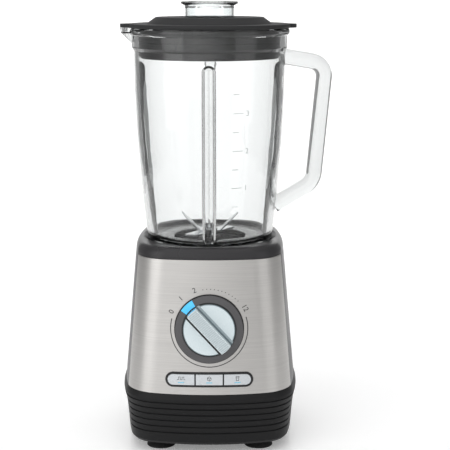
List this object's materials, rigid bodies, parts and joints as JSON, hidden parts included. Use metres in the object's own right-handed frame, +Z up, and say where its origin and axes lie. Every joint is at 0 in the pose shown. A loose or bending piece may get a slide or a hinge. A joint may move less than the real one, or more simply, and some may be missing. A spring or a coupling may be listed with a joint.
{
  "type": "countertop blender",
  "caption": "Countertop blender: tapered steel-fronted motor base with a dial and push buttons, and a lift-off glass jar with a lid and spinning blades.",
  "frame": {"origin": "on the motor's axis, on the surface that the feet stand on", "axes": "+Z up; the dial and buttons face -Y; the jar's handle points to +X and its spout to -X"},
  "size_m": [0.1917, 0.176, 0.3998],
  "materials": {
    "black_plastic": "fine satin",
    "grey_plastic": "satin",
    "dark_gloss": "gloss",
    "brushed_steel": "fine horizontal brushing",
    "foot_rubber": "matt",
    "zinc_steel": "zinc plated",
    "bright_steel": "ground",
    "blade_steel": "polished stainless",
    "dial_ring": "satin",
    "dial_satin": "satin silver paint",
    "blue_lens": "clear tinted",
    "button_silver": "satin silver",
    "board_green": "solder mask",
    "lamination": "varnished laminations",
    "copper": "enamelled copper",
    "white_nylon": "natural nylon",
    "cast_aluminium": "as cast",
    "brass": "plain",
    "carbon": "carbon graphite",
    "jar_glass": "clear pressed glass",
    "lid_grey": "soft matt",
    "clear_plastic": "clear moulded plastic",
    "seal_rubber": "silicone"
  },
  "bodies": {
    "base": {"base_skirt": "black_plastic", "side_housing": "grey_plastic", "front_panel": "brushed_steel", "top_cover": "dark_gloss", "bottom_plate": "black_plastic", "foot_front_left": "foot_rubber", "foot_front_right": "foot_rubber", "foot_rear_left": "foot_rubber", "foot_rear_right": "foot_rubber", "case_screws": "zinc_steel", "cord_gland": "black_plastic", "dial_seat": "black_plastic", "speed_encoder": "black_plastic", "button_frame": "black_plastic", "control_board": "board_green", "tact_switches": "black_plastic", "field_stack": "lamination", "field_coils": "copper", "upper_bearing": "bright_steel", "lower_bearing": "bright_steel", "upper_bracket": "cast_aluminium", "lower_bracket": "cast_aluminium", "motor_bolts": "zinc_steel", "motor_mounts": "foot_rubber", "mount_screws": "zinc_steel", "brush_boxes": "brass", "carbon_brushes": "carbon", "fan_shroud": "black_plastic", "terminal_block": "white_nylon"},
    "motor_rotor": {"motor_shaft": "bright_steel", "drive_coupling": "black_plastic", "armature_core": "lamination", "armature_windings": "copper", "commutator": "copper", "cooling_fan": "white_nylon"},
    "dial": {"dial_knob": "dial_satin", "dial_skirt": "dial_ring", "pointer_lens": "blue_lens", "dial_shaft": "bright_steel"},
    "pulse_button": {"pulse_button": "button_silver", "pulse_light_bar": "blue_lens"},
    "ice_button": {"ice_button": "button_silver", "ice_light_bar": "blue_lens"},
    "smooth_button": {"smooth_button": "button_silver", "smooth_light_bar": "blue_lens"},
    "jar": {"jar": "jar_glass", "jar_collar": "black_plastic", "jar_gasket": "seal_rubber", "blade_carrier": "black_plastic", "shaft_bushes": "brass", "shaft_seal": "seal_rubber"},
    "blade_rotor": {"blade_shaft": "bright_steel", "thrust_washer": "bright_steel", "lower_blade": "blade_steel", "upper_blade": "blade_steel", "blade_nut": "bright_steel", "drive_socket": "black_plastic"},
    "lid": {"lid": "lid_grey"},
    "measuring_cap": {"measuring_cap": "clear_plastic"}
  },
  "joints": [
    {"name": "jar_lift", "type": "slide", "parent": "base", "child": "jar", "axis": [0, 0, 1], "range_m": [0, 0.07]},
    {"name": "lid_lift", "type": "slide", "parent": "jar", "child": "lid", "axis": [0, 0, 1], "range_m": [0, 0.05]},
    {"name": "cap_lift", "type": "slide", "parent": "lid", "child": "measuring_cap", "axis": [0, 0, 1], "range_m": [0, 0.05]},
    {"name": "motor_spin", "type": "hinge", "parent": "base", "child": "motor_rotor", "pos_m": [0, 0, 0.1], "axis": [0, 0, 1], "continuous": true},
    {"name": "blade_spin", "type": "hinge", "parent": "jar", "child": "blade_rotor", "pos_m": [0, 0, 0.19], "axis": [0, 0, 1], "continuous": true},
    {"name": "dial_turn", "type": "hinge", "parent": "base", "child": "dial", "pos_m": [0, -0.07518, 0.116], "axis": [0, -0.9961, 0.0882], "range_deg": [-104, 23]},
    {"name": "pulse_button_press", "type": "slide", "parent": "base", "child": "pulse_button", "axis": [0, 0.9961, -0.0882], "range_m": [0, 0.0015], "stiffness_N_per_m": 800},
    {"name": "ice_button_press", "type": "slide", "parent": "base", "child": "ice_button", "axis": [0, 0.9961, -0.0882], "range_m": [0, 0.0015], "stiffness_N_per_m": 800},
    {"name": "smooth_button_press", "type": "slide", "parent": "base", "child": "smooth_button", "axis": [0, 0.9961, -0.0882], "range_m": [0, 0.0015], "stiffness_N_per_m": 800}
  ],
  "couplings": [
    {"joint": "blade_spin", "follows": "motor_spin", "ratio": 1}
  ]
}
